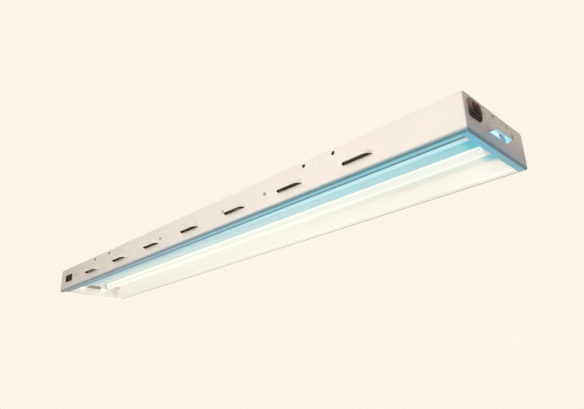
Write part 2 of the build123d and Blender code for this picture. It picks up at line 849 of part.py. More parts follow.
save_screws("roof_screws", sheet_screw, [Location((x, y, fixture_height)) for x, y in roof_screw_places])
save_screws("ballast_screws", sheet_screw, [Location((x, 0, fixture_height)) for x in ballast_screw_xs])
save_screws(
    "side_screws",
    sheet_screw,
    [
        Location((x, side * half_width, side_screw_height), (-90 * side, 0, 0))
        for x in strap_places
        for side in (-1, 1)
    ],
)
save_screws(
    "reflector_screws",
    small_screw,
    [
        Location((x, side * reflector_screw_offset, ceiling_height), (180, 0, 0))
        for x in strap_places
        for side in (-1, 1)
    ],
)
save_screws(
    "lampholder_screws",
    holder_screw,
    [
        Location((side * holder_front, y + holder_screw_offset, holder_screw_height), (0, -90 * side, 0))
        for _, side in ends
        for _, y in lamps
    ],
)
save_screws(
    "earth_screw",
    earth_screw_body,
    [Location((half_length, earth_screw_y, earth_screw_z), (0, 90, 0))],
)

# Earth lug and its nut on the inner face of the near end plate
with BuildPart() as earth_lug:
    with BuildSketch(Plane.YZ.offset(plate_inner)):
        with Locations((earth_screw_y, earth_screw_z)):
            Circle(lug_radius)
            Rectangle(lug_length, lug_radius, align=(Align.MAX, Align.CENTER))
            Circle(earth_screw_radius + clear_hole, mode=Mode.SUBTRACT)
    extrude(amount=-lug_thickness)
save(earth_lug.part, "earth_lug")

with BuildPart() as earth_nut:
    with BuildSketch(Plane.YZ.offset(plate_inner - lug_thickness)):
        with Locations((earth_screw_y, earth_screw_z)):
            RegularPolygon(nut_radius, 6)
            Circle(earth_screw_radius, mode=Mode.SUBTRACT)
    extrude(amount=-nut_height)
save(earth_nut.part, "earth_nut")


def lead(name, points):
    corners = [Vector(*point) for point in points]
    radii = []
    for start, corner, end in zip(corners, corners[1:], corners[2:]):
        run_in = corner - start
        run_out = end - corner
        half_turn = radians(run_in.get_angle(run_out) / 2)
        radii.append(bend_share * min(run_in.length, run_out.length) / tan(half_turn))
    with BuildPart() as wire:
        with BuildLine() as route:
            FilletPolyline(*points, radius=radii)
        with BuildSketch(Plane(origin=route.line @ 0, z_dir=route.line % 0)):
            Circle(lead_radius)
        sweep()
    save(wire.part, name)


# Mains leads, from the inlet tabs to the switch, the ballast and the earth lug
tab_top = [z + inlet_pin_height / 2 for _, z in pin_places]
live_y, earth_y, neutral_y = [y for y, _ in pin_places]
lead_start_x = pin_root + inlet_pin_height / 2
switch_lead_y = frame_back + switch_tab_length / 2
switch_lead_z = switch_centre_z + switch_tab_width / 2
switched_x, live_end_x = tab_xs
neutral_turn_x = live_end_x + 2 * lead_clearance
lead(
    "live_lead",
    [
        (lead_start_x, live_y, tab_top[0]),
        (lead_start_x, live_y, terminal_z),
        (live_end_x, switch_lead_y, terminal_z),
        (live_end_x, switch_lead_y, switch_lead_z),
    ],
)
lead(
    "switched_lead",
    [
        (switched_x, switch_lead_y, switch_lead_z),
        (switched_x, switch_lead_y, terminal_z),
        (switched_x, lead_row, terminal_z),
        (ballast_in, lead_row, terminal_z),
    ],
)
lead(
    "neutral_lead",
    [
        (lead_start_x, neutral_y, tab_top[2]),
        (lead_start_x, neutral_y, terminal_z),
        (neutral_turn_x, neutral_y, terminal_z),
        (neutral_turn_x, -lead_row, terminal_z),
        (ballast_in, -lead_row, terminal_z),
    ],
)
earth_run_x = plate_inner - lead_radius - clear_hole
earth_turn_y = inlet_centre_y + earth_lead_out
earth_rise_y = earth_screw_y - earth_lead_rise
lead(
    "earth_lead",
    [
        (lead_start_x, earth_y, tab_top[1]),
        (lead_start_x, earth_y, high_lead_height),
        (earth_run_x, earth_turn_y, high_lead_height),
        (earth_run_x, earth_rise_y, earth_screw_z),
        (earth_run_x, earth_screw_y - lug_length, earth_screw_z),
    ],
)

# Lamp leads, from the ballast output to the tops of the lampholders
holder_lead_x = holder_front + holder_depth / 2
out_x = ballast_out + 5 * lead_clearance
for lamp_number, lamp_place in lamps:
    row_side = 1 if lamp_place > 0 else -1
    lead(
        f"near_lamp_lead_{lamp_number}",
        [
            (ballast_out, row_side * lead_row / 2, terminal_z),
            (out_x, row_side * lead_row / 2, terminal_z),
            (holder_lead_x, lamp_place, high_lead_height),
            (holder_lead_x, lamp_place, holder_top),
        ],
    )
    return_y = row_side * (ballast_width / 2 + 2 * lead_clearance)
    lead(
        f"far_lamp_lead_{lamp_number}",
        [
            (ballast_out, row_side * 1.5 * lead_row, terminal_z),
            (out_x, row_side * 1.5 * lead_row, terminal_z),
            (out_x, return_y, terminal_z),
            (-holder_lead_x, lamp_place, high_lead_height),
            (-holder_lead_x, lamp_place, holder_top),
        ],
    )
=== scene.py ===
"""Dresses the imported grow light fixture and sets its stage. Lengths are in metres."""

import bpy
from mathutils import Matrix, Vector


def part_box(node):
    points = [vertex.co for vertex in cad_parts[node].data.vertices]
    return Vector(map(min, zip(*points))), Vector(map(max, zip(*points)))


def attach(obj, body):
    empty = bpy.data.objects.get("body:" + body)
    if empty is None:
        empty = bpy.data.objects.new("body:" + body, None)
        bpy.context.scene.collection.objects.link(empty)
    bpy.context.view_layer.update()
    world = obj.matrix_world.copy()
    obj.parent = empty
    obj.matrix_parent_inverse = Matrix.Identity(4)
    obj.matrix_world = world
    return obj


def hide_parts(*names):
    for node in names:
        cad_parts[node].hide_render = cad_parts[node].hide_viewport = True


bl_info = {
    "name": "Grow Light Fixture",
    "version": (1, 0, 0),
    "blender": (4, 5, 0),
    "location": "View3D > Sidebar > Grow Light",
    "description": "Finishes, lamp caps and stage of a two-lamp fluorescent grow light",
    "category": "Object",
}

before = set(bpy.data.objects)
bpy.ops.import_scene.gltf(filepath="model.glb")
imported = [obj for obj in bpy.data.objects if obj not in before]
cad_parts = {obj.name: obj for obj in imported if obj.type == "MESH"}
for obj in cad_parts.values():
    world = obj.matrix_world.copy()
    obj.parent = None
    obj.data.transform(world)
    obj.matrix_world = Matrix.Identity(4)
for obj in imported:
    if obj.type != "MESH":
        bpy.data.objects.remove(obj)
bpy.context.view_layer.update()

import math

import bpy
import numpy as np
from bpy.props import FloatProperty, FloatVectorProperty, PointerProperty
from bpy.types import Operator, Panel, PropertyGroup
from mathutils import Matrix, Vector

MM = 0.001
LAMPS = (1, 2)
ENDS = (("near", 1), ("far", -1))


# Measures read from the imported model

housing_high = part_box("housing")[1]
near_plate_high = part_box("near_end_plate")[1]
HOOD_REACH = 11 * MM
FIXTURE_HALF_WIDTH = near_plate_high.y
FIXTURE_HEIGHT = housing_high.z
FIXTURE_HALF_LENGTH = near_plate_high.x - HOOD_REACH
LIP_END = FIXTURE_HALF_LENGTH - 12 * MM
LOUVRE_PITCH = 140 * MM
LOUVRE_SHIFT = 5.5 * MM
SLIT_HEIGHT = 21.5 * MM
SLIT_STRAIGHT_HALF = 17 * MM
HOOD_BETWEEN_SKINS = 10.55 * MM

# Painted light and shade: tints that stand in for shade and for the lamps' glow on the enamel, the reflector
# and the brackets

BLACK = (0.0, 0.0, 0.0)
FAR_SHADE = (0.50, 0.46, 0.42)
LOW_WALL_SHADE = (0.78, 0.79, 0.80)
PLATE_SHADE = (0.80, 0.71, 0.66)
PLATE_LOW_SHADE = (0.50, 0.50, 0.57)
PLATE_FOOT_SHADE = (0.36, 0.52, 0.64)
FAR_CORNER_BEND_SHADE = (0.25, 0.235, 0.22)
NEAR_LIP_BACK_GLOW = (0.25, 0.50, 0.60)
FAR_END_LIP_LIGHT = (0.88, 0.86, 0.82)
NEAR_HOOD_PAINTED_LIGHT = (0.50, 0.62, 0.64)
BACK_LIP_GLOW = (0.16, 0.155, 0.14)
FAR_END_GLOW = (0.40, 0.38, 0.35)
FAR_BRACKET_GLOW = (0.60, 0.58, 0.53)
SLOPE_SHADE = (0.72, 0.78, 0.76)
FAR_HUMP_COOL_SHADE = (0.80, 0.92, 0.92)
HUMP_FRONT_EDGE_SHADE = (0.40, 0.66, 0.74)
NEAR_HUMP_COOL_SHADE = (0.30, 0.76, 0.90)
REFLECTOR_GLOW = (0.28, 0.255, 0.235)


# Node trees


class Value:
    """A number socket. Arithmetic on it adds Math nodes."""

    def __init__(self, finish, socket):
        self.finish = finish
        self.socket = socket

    def math(self, operation, *others):
        return self.finish.node("ShaderNodeMath", {"operation": operation}, (self, *others))

    def __add__(self, other):
        return self.math("ADD", other)

    def __sub__(self, other):
        return self.math("SUBTRACT", other)

    def __rsub__(self, other):
        return self.math("MULTIPLY", -1.0).math("ADD", other)

    def __mul__(self, other):
        return self.math("MULTIPLY", other)

    def __abs__(self):
        return self.math("ABSOLUTE")

    def larger(self, other):
        return self.math("MAXIMUM", other)

    __radd__ = __add__
    __rmul__ = __mul__

    def ramp(self, low, high):
        """0 below low, 1 above high, with a smooth step between; low may be the larger one."""
        if low < high:
            ends = (low, high, 0.0, 1.0)
        else:
            ends = (high, low, 1.0, 0.0)
        return self.finish.node(
            "ShaderNodeMapRange", {"interpolation_type": "SMOOTHSTEP", "clamp": True}, (self, *ends)
        )


class Finish:
    """A material under construction, with a Principled shader and Object coordinates."""

    def __init__(self, name, colour, **constants):
        self.material = bpy.data.materials.new(name)
        self.material.use_nodes = True
        self.tree = self.material.node_tree
        self.shader = self.tree.nodes["Principled BSDF"]
        self.shader.inputs["Base Color"].default_value = (*colour, 1.0)
        for name, constant in constants.items():
            socket = name.replace("_", " ").title().replace("Ior", "IOR")
            self.shader.inputs[socket].default_value = constant
        self.place = self.node("ShaderNodeTexCoord", output="Object")

    def node(self, kind, settings={}, inputs=(), output=0):
        """Adds a node: its settings first, then the values or links of its sockets."""
        made = self.tree.nodes.new(kind)
        for name, setting in settings.items():
            setattr(made, name, setting)
        pairs = inputs.items() if isinstance(inputs, dict) else enumerate(inputs)
        for name, given in pairs:
            if isinstance(given, Value):
                self.tree.links.new(given.socket, made.inputs[name])
            else:
                made.inputs[name].default_value = given
        return Value(self, made.outputs[output])

    def axes(self):
        """The X, Y and Z of the Object coordinates."""
        split = self.node("ShaderNodeSeparateXYZ", {}, (self.place,))
        outputs = split.socket.node.outputs
        return [Value(self, outputs[axis]) for axis in range(3)]

    def stretched(self, scale):
        """The Object coordinates, scaled along each axis."""
        return self.node("ShaderNodeMapping", {}, {"Vector": self.place, "Scale": scale})

    def noise(self, scale, detail=2.0, place=None):
        inputs = {"Vector": place or self.place, "Scale": scale, "Detail": detail}
        return self.node("ShaderNodeTexNoise", {}, inputs)

    def mix(self, factor, low, high):
        """A colour from low to high as the factor goes from 0 to 1."""
        low = low if isinstance(low, Value) else (*low, 1.0)
        high = high if isinstance(high, Value) else (*high, 1.0)
        inputs = {0: factor, 6: low, 7: high}
        return self.node("ShaderNodeMix", {"data_type": "RGBA", "clamp_factor": True}, inputs, output=2)

    def feed(self, socket, value):
        self.tree.links.new(value.socket, self.shader.inputs[socket])

    def glow(self, colour, strength=1.0):
        self.feed("Emission Color", colour)
        self.shader.inputs["Emission Strength"].default_value = strength

    def bump(self, height, depth):
        """Height from 0 to 1 raises the surface by the depth."""
        bumped = self.node("ShaderNodeBump", {}, {"Distance": depth, "Height": height})
        self.feed("Normal", bumped)


# Meshes


def surface(points):
    """Points and quads of a grid of points, an array of shape (along, across, 3), whose last
    column joins its first."""
    rows, columns = points.shape[:2]
    index = np.arange(rows * columns).reshape(rows, columns)
    index = np.hstack([index, index[:, :1]])
    corners = (index[:-1, :-1], index[1:, :-1], index[1:, 1:], index[:-1, 1:])
    quads = np.stack(corners, axis=-1).reshape(-1, 4)
    return points.reshape(-1, 3), [tuple(quad) for quad in quads.tolist()]


def piece(name, parts, material, body, replaced):
    """One object made of several (points, faces) parts, riding on a body of the fixture."""
    points, faces, start = [], [], 0
    for part_points, part_faces in parts:
        points.append(part_points)
        faces += [tuple(start + corner for corner in face) for face in part_faces]
        start += len(part_points)
    mesh = bpy.data.meshes.new(name)
    mesh.from_pydata(np.concatenate(points).tolist(), [], faces)
    mesh.shade_smooth()
    mesh.materials.append(material)
    made = bpy.data.objects.new(name, mesh)
    bpy.context.scene.collection.objects.link(made)
    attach(made, body)
    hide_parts(*replaced)


def finish_nodes(material, *names):
    """Gives CAD nodes their material."""
    for name in names:
        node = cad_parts[name]
        node.data.materials.clear()
        node.data.materials.append(material)


def turned(profile, centre, steps, ripple):
    """Profile of (x, radius) rows turned about an axis along X through the centre, a point
    (y, z). The ripple, a function of x and the angle, is added to the radius."""
    angles = np.linspace(0, 2 * math.pi, steps, endpoint=False)
    x = profile[:, 0][:, None] + 0 * angles[None, :]
    radius = profile[:, 1][:, None] + 0 * angles[None, :]
    radius = radius + ripple(x, angles[None, :])
    return np.stack(
        [x, centre[0] + radius * np.cos(angles), centre[1] + radius * np.sin(angles)], axis=-1
    )


def arc(centre, radius, start, end, steps):
    """Rows of (x, radius) on a circle arc, with angles in degrees."""
    angles = np.radians(np.linspace(start, end, steps))
    return np.stack([centre[0] + radius * np.cos(angles), centre[1] + radius * np.sin(angles)], axis=-1)


# Sizes and colours that a user would change


def colour_property(name, description, default):
    return FloatVectorProperty(
        name=name, description=description, subtype="COLOR", size=3, min=0.0, max=1.0, default=default
    )


def length_property(name, description, default):
    return FloatProperty(name=name, description=description, unit="LENGTH", min=0.0, default=default)


class GrowLightColours(PropertyGroup):
    enamel: colour_property("Enamel", "White enamel of the housing", (0.86, 0.80, 0.73))
    # Bend colours: painted shade on the bottom bends
    bend: colour_property("Bend", "Bend under the front wall at the near end", (0.08, 0.21, 0.26))
    far_bend_shade: colour_property("Far Bend", "Bend under the front wall at the far end", (0.24, 0.255, 0.28))
    plate_bend_shade: colour_property("Plate Bend", "Bend under the near end plate", (0.13, 0.25, 0.36))
    # Front, far and near lip colours: painted cyan glow and shade on the lips
    lip: colour_property("Lip", "Front lip in the lamps' glow", (0.25, 0.66, 0.84))
    far_lip_shade: colour_property("Far Lip", "Front lip at the far end", (0.25, 0.38, 0.47))
    near_lip_glow: colour_property("Near Lip", "Lip under the near end plate", (0.17, 0.60, 0.86))
    back_lip: colour_property("Back Lip", "Lip under the back wall", (0.86, 0.87, 0.84))
    # painted shade on the back bend
    back_bend_shade: colour_property("Back Bend", "Bend under the back wall", (0.50, 0.54, 0.51))
    reflector: colour_property("Reflector", "Bright sheet beside the lamps", (0.93, 0.91, 0.87))
    # painted shade on the reflector's front flange
    flange: colour_property("Flange", "Front flange of the reflector on its lip", (0.06, 0.24, 0.33))
    # painted cool shade on the reflector's hump
    hump: colour_property("Hump", "Middle hump of the reflector", (0.44, 0.81, 0.93))
    # painted cyan light past the lamps and in the near louvre
    glow: colour_property("Glow", "Cyan light past the ends of the lamps", (0.10, 0.66, 0.80))
    leak: colour_property("Leak", "Cyan light that leaks out of the near louvre", (0.08, 0.20, 0.24))
    cool_lamp: colour_property("Cool Lamp", "Near half of the front lamp", (0.33, 0.64, 0.71))
    far_cool_lamp: colour_property("Far Cool Lamp", "Far half of the front lamp", (0.16, 0.33, 0.39))
    warm_lamp: colour_property("Warm Lamp", "Light of the back lamp", (0.58, 0.58, 0.53))
    # painted shade inside the housing
    inside: colour_property("Inside", "Unlit inside of the housing", (0.050, 0.030, 0.025))
    upper_inside_shade: colour_property("Upper Inside", "Inside of the housing near its roof", (0.20, 0.165, 0.13))
    inlet: colour_property("Inlet", "Brown-black plastic of the inlet", (0.055, 0.036, 0.032))
    switch: colour_property("Switch", "Brown-black plastic of the switch", (0.012, 0.005, 0.002))
    background: colour_property("Background", "Backdrop and floor", (0.973, 0.905, 0.812))


class GrowLightSizes(PropertyGroup):
    peel_depth: length_property("Peel Depth", "Depth of the enamel's orange peel", 0.00004)
    lamp_strength: FloatProperty(
        name="Lamp Strength", description="Strength of the lamps' light", min=0.0, default=1.0
    )
    camera_lens: FloatProperty(
        name="Camera Lens", description="Focal length of the camera", min=1.0, default=32.909
    )
    floor_drop: length_property("Floor Drop", "Height of the fixture over the floor", 2.2)


# Finishes


def enamel_with_painted_light(settings):
    colours = settings.colours
    finish = Finish("white enamel", colours.enamel, roughness=0.38, ior=1.5)
    x, y, z = finish.axes()
    clouds = finish.noise(14.0, 3.0).ramp(0.35, 0.65)
    shade = finish.mix(clouds * 0.5, colours.enamel, [channel * 0.95 for channel in colours.enamel])
    # painted shade: darker towards the far end
    shade = finish.mix(x.ramp(-0.36, -0.60) * 0.38, shade, FAR_SHADE)
    # painted cool shade low on the wall, except towards the near end
    shade = finish.mix(z.ramp(0.018, 0.006) * x.ramp(0.35, 0.0) * 0.5, shade, LOW_WALL_SHADE)
    # painted shade: the near end plate, which faces away from the key light, is darkened, and turns cooler
    # and darker downwards
    plate = x.ramp(0.5955, 0.5965)
    shade = finish.mix(plate * 0.6, shade, PLATE_SHADE)
    shade = finish.mix(plate * z.ramp(0.050, 0.012) * 0.75, shade, PLATE_LOW_SHADE)
    shade = finish.mix(plate * z.ramp(0.018, 0.004) * 0.6, shade, PLATE_FOOT_SHADE)
    front = y.ramp(0.01, -0.01)
    near_end = x.ramp(LIP_END - 0.5 * MM, LIP_END + 0.5 * MM)
    # painted shade on the bottom bend
    shade = finish.mix(z.ramp(0.0078, 0.0008), shade, bottom_bend_shade(finish, colours, x, front))
    # painted cyan glow and painted shade on the flat lips
    flat = abs(y).ramp(0.0872, 0.0850) * abs(x).ramp(0.5952, 0.5935) * z.ramp(0.0012, 0.0004)
    shade = finish.mix(flat, shade, lip_glow_and_shade(finish, colours, x, y, front, near_end))
    # painted shade: near black inside the louvre hoods and on the inner walls and roof, lighter towards the
    # roof
    dark = finish.mix(z.ramp(0.034, 0.044), colours.inside, colours.upper_inside_shade)
    unlit = louvre_hollows(x, y, z).larger(inside_walls(x, y, z))
    # painted cyan light inside the near end plate's louvre hood, in its base colour and its glow
    leak = end_louvre_hollows(x, y, z) * near_end
    shade = finish.mix(unlit, shade, dark)
    finish.feed("Base Color", finish.mix(leak, shade, NEAR_HOOD_PAINTED_LIGHT))
    # painted glow: emission that stands in for the light of the lamps on the back lip, in the far end and in
    # the near louvre
    back_glow = flat * y.ramp(0.070, 0.074) * y.ramp(0.0845, 0.0790) * abs(x).ramp(0.586, 0.580)
    glow = finish.mix(back_glow, BLACK, BACK_LIP_GLOW)
    behind_plate = x.ramp(-0.5964, -0.5960) * x.ramp(0.5 * MM - LIP_END, -0.5 * MM - LIP_END)
    within_walls = abs(y).ramp(0.0893, 0.0888) * z.ramp(0.0592, 0.0588)
    within = behind_plate * within_walls * y.ramp(-0.082, -0.078)
    glow = finish.mix(within, glow, FAR_END_GLOW)
    finish.glow(finish.mix(leak, glow, colours.leak))
    finish.bump(finish.noise(1100.0, 1.0), settings.sizes.peel_depth)
    finish.feed("Roughness", finish.noise(60.0, 3.0) * 0.14 + 0.30)
    return finish.material


def bottom_bend_shade(finish, colours, x, front):
    """Painted shade on the bottom bend: dark under the front wall, paler towards the far end and under the
    back wall.
    """
    bend = finish.mix(x.ramp(-0.60, 0.50), colours.far_bend_shade, colours.bend)
    # painted shade, darker at the far corner
    bend = finish.mix(x.ramp(-0.42, -0.54), bend, FAR_CORNER_BEND_SHADE)
    bend = finish.mix(front, colours.back_bend_shade, bend)
    return finish.mix(x.ramp(0.5925, 0.5935), bend, colours.plate_bend_shade)


def lip_glow_and_shade(finish, colours, x, y, front, near_end):
    """Painted cyan glow on the front and near lips, with a painted dark shade line where the flange begins,
    pale on the back and far lips; the far end lip's paleness is painted light, and the back lip's outer edge
    takes the back bend's painted shade."""
    lip = finish.mix(x.ramp(-0.60, 0.50), colours.far_lip_shade, colours.lip)
    # painted shade line at the flange's edge
    lip = finish.mix(y.ramp(-0.0795, -0.0770) * y.ramp(-0.074, -0.0745), lip, colours.flange)
    back_lip = finish.mix(y.ramp(0.0800, 0.0855), colours.back_lip, colours.back_bend_shade)
    lip = finish.mix(front, back_lip, lip)
    near_lip_glow = finish.mix(y.ramp(-0.04, 0.05) * 0.8, colours.near_lip_glow, NEAR_LIP_BACK_GLOW)
    lip = finish.mix(near_end, lip, near_lip_glow)
    # painted light on the far end lip
    far_end = x.ramp(0.5 * MM - LIP_END, -0.5 * MM - LIP_END) * y.ramp(-0.082, -0.078)
    return finish.mix(far_end, lip, FAR_END_LIP_LIGHT)


def louvre_hollows(x, y, z):
    """1 on the inner surface of the walls' louvre hoods."""
    half = LOUVRE_PITCH / 2
    place = (x - (LOUVRE_SHIFT - half)).math("FLOORED_MODULO", LOUVRE_PITCH) - half
    in_row = abs(x - LOUVRE_SHIFT).ramp(3.4 * LOUVRE_PITCH, 3.3 * LOUVRE_PITCH)
    return hood_hollow(place, abs(y) - FIXTURE_HALF_WIDTH, z) * in_row


def end_louvre_hollows(x, y, z):
    """1 on the inner surface of the end plates' louvre hoods."""
    return hood_hollow(y, abs(x) - FIXTURE_HALF_LENGTH, z)


def hood_hollow(place, out, z):
    """1 on the inner surface of a hood. The hood is a barrel with round ends about the middle
    line of its slit, so its inner surface lies at one distance from that line."""
    rise = z - SLIT_HEIGHT
    from_line = distance(abs(place) - SLIT_STRAIGHT_HALF, out, rise)
    hollow = from_line.ramp(HOOD_BETWEEN_SKINS + 0.2 * MM, HOOD_BETWEEN_SKINS - 0.2 * MM)
    return hollow * out.ramp(-0.9 * MM, -0.3 * MM) * rise.ramp(-0.1 * MM, 0.3 * MM)


def distance(beyond, out, rise):
    """Distance from a straight middle line, given how far a point lies beyond its end."""
    beyond = beyond.larger(0.0)
    return (beyond * beyond + out * out + rise * rise).math("SQRT")


def inside_walls(x, y, z):
    """1 on the inner faces of the housing's walls and roof, away from its open ends."""
    skin = (0.3 * MM, 0.7 * MM)
    behind = abs(y).ramp(*[FIXTURE_HALF_WIDTH - depth for depth in skin])
    below = z.ramp(*[FIXTURE_HEIGHT - depth for depth in skin])
    # the top bend keeps its enamel
    beside = abs(y).ramp(FIXTURE_HALF_WIDTH - 7.5 * MM, FIXTURE_HALF_WIDTH - 7.0 * MM)
    bend = beside * z.ramp(0.0525, 0.0530)
    return behind * below * z.ramp(0.0056, 0.0062) * (1.0 - bend) * abs(x).ramp(0.580, 0.570)


def reflector_with_painted_light(settings):
    colours = settings.colours
    finish = Finish("reflector enamel", colours.reflector, roughness=0.30)
    x, y, z = finish.axes()
    streaks = finish.noise(9.0, 3.0, finish.stretched((1.0, 30.0, 30.0))).ramp(0.3, 0.7)
    plain = finish.mix(streaks * 0.4, colours.reflector, [channel * 0.97 for channel in colours.reflector])
    # painted shade on the back slope, stronger towards the near end
    slope = z.ramp(0.020, 0.027) * y.ramp(0.048, 0.052)
    slope_shade = slope * (x.ramp(0.10, 0.55) * 0.65 + 0.2)
    plain = finish.mix(slope_shade, plain, SLOPE_SHADE)
    # painted cool shade on the hump, which faces down between the lamps: paler at the far end, darker along
    # its front edge, cyan towards the near end
    hump = abs(y).ramp(0.0185, 0.0145) * z.ramp(0.031, 0.027)
    hump_cool_shade = finish.mix(x.ramp(-0.45, 0.50), FAR_HUMP_COOL_SHADE, colours.hump)
    front_edge = y.ramp(-0.002, -0.015) * x.ramp(0.35, 0.10)
    hump_cool_shade = finish.mix(front_edge * 0.7, hump_cool_shade, HUMP_FRONT_EDGE_SHADE)
    hump_cool_shade = finish.mix(x.ramp(0.44, 0.545), hump_cool_shade, NEAR_HUMP_COOL_SHADE)
    shade = finish.mix(hump, plain, hump_cool_shade)
    # painted cyan glow past the lamps; seen from below, a higher part is reached further in
    reach = x + z * 0.9
    end = (hump * reach.ramp(0.566, 0.580)).larger(slope * reach.ramp(0.560, 0.584) * 0.8)
    end = end.larger(reach.ramp(0.582, 0.592) * 0.6)
    shade = finish.mix(end, shade, colours.glow)
    # painted shade on the front flange at the foot of the sheet
    flange = z.ramp(0.0026, 0.0018) * y.ramp(0.01, -0.01)
    finish.feed("Base Color", finish.mix(flange, shade, colours.flange))
    # painted glow: emission that stands in for the light of the lamps in the sheet
    lit = (1.0 - flange) * (1.0 - end) * (1.0 - hump * 0.85) * (1.0 - slope_shade * 0.35)
    lit = lit * (x.ramp(0.46, 0.56) * 0.35 + 0.65)
    finish.glow(finish.mix(lit, BLACK, REFLECTOR_GLOW))
    finish.bump(finish.noise(700.0, 1.0), settings.sizes.peel_depth)
    finish.feed("Roughness", streaks * 0.12 + 0.24)
    return finish.material


def lamp_finish(name, glass, light, far_light, strength):
    finish = Finish(name, glass, roughness=0.16)
    x = finish.axes()[0]
    powder = finish.noise(160.0, 3.0).ramp(0.2, 0.8)
    shade = finish.mix(x.ramp(0.35, -0.25), light, far_light)
    shade = finish.mix(powder * 0.06, shade, [channel * 0.8 for channel in light])
    # the glass dims over the cathodes
    shade = finish.mix(abs(x).ramp(0.550, 0.568) * 0.5, shade, [channel * 0.7 for channel in light])
    finish.glow(shade, strength)
    return finish.material


def inlet_finish(colour):
    """Moulded plastic, darkest at its bottom."""
    finish = Finish("inlet plastic", colour, roughness=0.6, specular_ior_level=0.25)
    z = finish.axes()[2]
    patches = finish.noise(260.0, 3.0).ramp(0.3, 0.7)
    high = z.ramp(0.028, 0.050)
    shade = finish.mix(high, [channel * 0.6 for channel in colour], [channel * 7.0 for channel in colour])
    finish.feed("Base Color", finish.mix(patches * 0.3, shade, colour))
    finish.feed("Roughness", patches * 0.12 + 0.54)
    finish.bump(finish.noise(1400.0, 2.0), 0.00002)
    return finish.material


def plastic_finish(name, colour, roughness, grain=900.0, depth=0.00002, glow=0.0):
    finish = Finish(name, colour, roughness=roughness, specular_ior_level=0.15)
    patches = finish.noise(90.0, 3.0).ramp(0.3, 0.7)
    finish.feed("Base Color", finish.mix(patches, colour, [channel * 0.88 for channel in colour]))
    finish.feed("Roughness", patches * 0.12 + (roughness - 0.06))
    finish.bump(finish.noise(grain, 2.0), depth)
    finish.glow(finish.mix(patches * 0.1 + 0.9, BLACK, colour), glow)
    return finish.material


def zinc_finish(name="zinc sheet", glow=BLACK):
    pale, dark = (0.62, 0.64, 0.66), (0.44, 0.46, 0.49)
    finish = Finish(name, pale, metallic=1.0, roughness=0.42)
    spangle = finish.node(
        "ShaderNodeTexVoronoi", {"feature": "F1"}, {"Vector": finish.place, "Scale": 170.0}, output=1
    )
    level = finish.node("ShaderNodeRGBToBW", {}, (spangle,))
    finish.feed("Base Color", finish.mix(level, dark, pale))
    finish.feed("Roughness", level * 0.25 + 0.30)
    finish.bump(level, 0.00001)
    # painted glow: it lies behind the louvre and leaves the holes above it dark
    y, z = finish.axes()[1:]
    lit = abs(y).ramp(0.048, 0.034) * z.ramp(0.041, 0.036) * (level * 0.1 + 0.9)
    finish.glow(finish.mix(lit, BLACK, glow))
    return finish.material


def metal_finish(name, pale, dark, roughness, scale=500.0):
    finish = Finish(name, pale, metallic=1.0, roughness=roughness)
    marks = finish.noise(scale, 3.0, finish.stretched((1.0, 1.0, 6.0))).ramp(0.3, 0.7)
    finish.feed("Base Color", finish.mix(marks, pale, dark))
    finish.feed("Roughness", marks * 0.2 + (roughness - 0.1))
    finish.bump(marks, 0.00001)
    return finish.material


def lead_finish(name, colour):
    finish = Finish(name, colour, roughness=0.36)
    ripple = finish.noise(260.0, 2.0).ramp(0.3, 0.7)
    finish.feed("Base Color", finish.mix(ripple, colour, [channel * 0.8 for channel in colour]))
    finish.feed("Roughness", ripple * 0.15 + 0.3)
    finish.bump(ripple, 0.00003)
    return finish.material


def board_finish():
    green, copper = (0.05, 0.20, 0.08), (0.10, 0.34, 0.14)
    finish = Finish("circuit laminate", green, roughness=0.35)
    tracks = finish.node(
        "ShaderNodeTexVoronoi", {"distance": "MANHATTAN"}, {"Vector": finish.place, "Scale": 220.0}
    ).ramp(0.42, 0.52)
    finish.feed("Base Color", finish.mix(tracks, green, copper))
    finish.bump(tracks, 0.00003)
    return finish.material


def wound_finish():
    core, tape = (0.045, 0.042, 0.040), (0.55, 0.42, 0.12)
    finish = Finish("choke core and tape", core, roughness=0.5)
    y = finish.axes()[1]
    band = abs(y).ramp(0.0066, 0.0062)
    grain = finish.noise(400.0, 3.0)
    finish.feed("Base Color", finish.mix(band, finish.mix(grain, core, (0.09, 0.08, 0.08)), tape))
    finish.bump(grain, 0.00004)
    return finish.material


# Pieces


class GROWLIGHT_OT_housing(Operator):
    """Enamels the housing and its end plates, with painted light and shade"""

    bl_idname = "growlight.housing"
    bl_label = "Housing"

    def execute(self, context):
        enamel = enamel_with_painted_light(context.scene.grow_light)
        finish_nodes(enamel, "housing", "near_end_plate", "far_end_plate")
        return {"FINISHED"}


class GROWLIGHT_OT_reflector(Operator):
    """Finishes the folded reflector, with painted light and shade"""

    bl_idname = "growlight.reflector"
    bl_label = "Reflector"

    def execute(self, context):
        finish_nodes(reflector_with_painted_light(context.scene.grow_light), "reflector")
        return {"FINISHED"}


